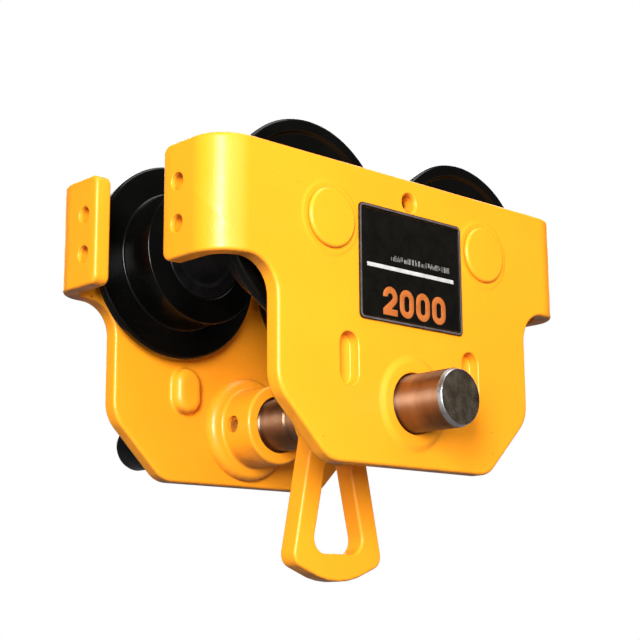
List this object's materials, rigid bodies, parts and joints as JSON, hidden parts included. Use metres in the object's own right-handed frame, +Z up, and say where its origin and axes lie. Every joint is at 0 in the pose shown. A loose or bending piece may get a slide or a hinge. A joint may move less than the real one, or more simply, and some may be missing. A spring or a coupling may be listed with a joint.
{
  "type": "beam trolley",
  "caption": "Push trolley for an I-beam: bent side plates on a round load bar, flanged wheels on ball bearings and a swinging suspension link between the plates.",
  "frame": {"origin": "middle of the beam at its running surface: between the side plates, level with the lowest point of the wheel treads", "axes": "+X along the beam, +Y across it from the nameplate side to the rear side, along the load bar, +Z up"},
  "size_m": [0.3266, 0.3455, 0.2916],
  "materials": {
    "yellow_paint": "glossy enamel over thick plate",
    "black_gloss": "gloss black enamel on cast wheels",
    "bar_steel": "dark turned bar with bright chamfers",
    "bright_steel": "ground bearing steel",
    "spring_steel": "blackened",
    "label_black": "printed black, satin",
    "label_frame": "bare edge of the plate, satin"
  },
  "bodies": {
    "load_bar": {"load_bar": "bar_steel"},
    "link_carrier": {"link_bush": "bright_steel"},
    "link": {"suspension_link": "yellow_paint"},
    "front_plate": {"front_side_plate": "yellow_paint", "front_boss": "yellow_paint", "front_set_screw": "yellow_paint", "nameplate_panel": "label_black", "nameplate_frame": "label_frame", "axle_front_left": "yellow_paint", "spacer_front_left": "bright_steel", "bearing_inner_front_left": "bright_steel", "axle_circlip_front_left": "spring_steel", "axle_front_right": "yellow_paint", "spacer_front_right": "bright_steel", "bearing_inner_front_right": "bright_steel", "axle_circlip_front_right": "spring_steel"},
    "rear_plate": {"rear_side_plate": "yellow_paint", "rear_boss": "yellow_paint", "rear_set_screw": "yellow_paint", "axle_rear_left": "yellow_paint", "spacer_rear_left": "bright_steel", "bearing_inner_rear_left": "bright_steel", "axle_circlip_rear_left": "spring_steel", "axle_rear_right": "yellow_paint", "spacer_rear_right": "bright_steel", "bearing_inner_rear_right": "bright_steel", "axle_circlip_rear_right": "spring_steel"},
    "wheel_front_left": {"wheel_front_left": "black_gloss", "bearing_outer_front_left": "bright_steel", "wheel_circlip_front_left": "spring_steel", "dust_cap_front_left": "spring_steel"},
    "balls_front_left": {"ball_cage_front_left": "bright_steel"},
    "wheel_front_right": {"wheel_front_right": "black_gloss", "bearing_outer_front_right": "bright_steel", "wheel_circlip_front_right": "spring_steel", "dust_cap_front_right": "spring_steel"},
    "balls_front_right": {"ball_cage_front_right": "bright_steel"},
    "wheel_rear_left": {"wheel_rear_left": "black_gloss", "bearing_outer_rear_left": "bright_steel", "wheel_circlip_rear_left": "spring_steel", "dust_cap_rear_left": "spring_steel"},
    "balls_rear_left": {"ball_cage_rear_left": "bright_steel"},
    "wheel_rear_right": {"wheel_rear_right": "black_gloss", "bearing_outer_rear_right": "bright_steel", "wheel_circlip_rear_right": "spring_steel", "dust_cap_rear_right": "spring_steel"},
    "balls_rear_right": {"ball_cage_rear_right": "bright_steel"}
  },
  "joints": [
    {"name": "front_plate_slide", "type": "slide", "parent": "load_bar", "child": "front_plate", "axis": [0, -1, 0], "range_m": [-0.016, 0.035]},
    {"name": "rear_plate_slide", "type": "slide", "parent": "load_bar", "child": "rear_plate", "axis": [0, 1, 0], "range_m": [-0.016, 0.11]},
    {"name": "link_slide", "type": "slide", "parent": "load_bar", "child": "link_carrier", "axis": [0, 1, 0], "range_m": [-0.005, 0.029]},
    {"name": "link_swing", "type": "hinge", "parent": "link_carrier", "child": "link", "pos_m": [0, -0.012, -0.063], "axis": [0, 1, 0], "range_deg": [-85, 85]},
    {"name": "wheel_front_left_spin", "type": "hinge", "parent": "front_plate", "child": "wheel_front_left", "pos_m": [-0.0725, -0.052, 0.0483], "axis": [0, 1, 0], "continuous": true},
    {"name": "balls_front_left_roll", "type": "hinge", "parent": "front_plate", "child": "balls_front_left", "pos_m": [-0.0725, -0.052, 0.0483], "axis": [0, 1, 0], "continuous": true},
    {"name": "wheel_front_right_spin", "type": "hinge", "parent": "front_plate", "child": "wheel_front_right", "pos_m": [0.0725, -0.052, 0.0483], "axis": [0, 1, 0], "continuous": true},
    {"name": "balls_front_right_roll", "type": "hinge", "parent": "front_plate", "child": "balls_front_right", "pos_m": [0.0725, -0.052, 0.0483], "axis": [0, 1, 0], "continuous": true},
    {"name": "wheel_rear_left_spin", "type": "hinge", "parent": "rear_plate", "child": "wheel_rear_left", "pos_m": [-0.0725, 0.052, 0.0483], "axis": [0, 1, 0], "continuous": true},
    {"name": "balls_rear_left_roll", "type": "hinge", "parent": "rear_plate", "child": "balls_rear_left", "pos_m": [-0.0725, 0.052, 0.0483], "axis": [0, 1, 0], "continuous": true},
    {"name": "wheel_rear_right_spin", "type": "hinge", "parent": "rear_plate", "child": "wheel_rear_right", "pos_m": [0.0725, 0.052, 0.0483], "axis": [0, 1, 0], "continuous": true},
    {"name": "balls_rear_right_roll", "type": "hinge", "parent": "rear_plate", "child": "balls_rear_right", "pos_m": [0.0725, 0.052, 0.0483], "axis": [0, 1, 0], "continuous": true}
  ],
  "couplings": [
    {"joint": "balls_front_left_roll", "follows": "wheel_front_left_spin", "ratio": 0.598},
    {"joint": "balls_front_right_roll", "follows": "wheel_front_right_spin", "ratio": 0.598},
    {"joint": "balls_rear_left_roll", "follows": "wheel_rear_left_spin", "ratio": 0.598},
    {"joint": "balls_rear_right_roll", "follows": "wheel_rear_right_spin", "ratio": 0.598}
  ]
}
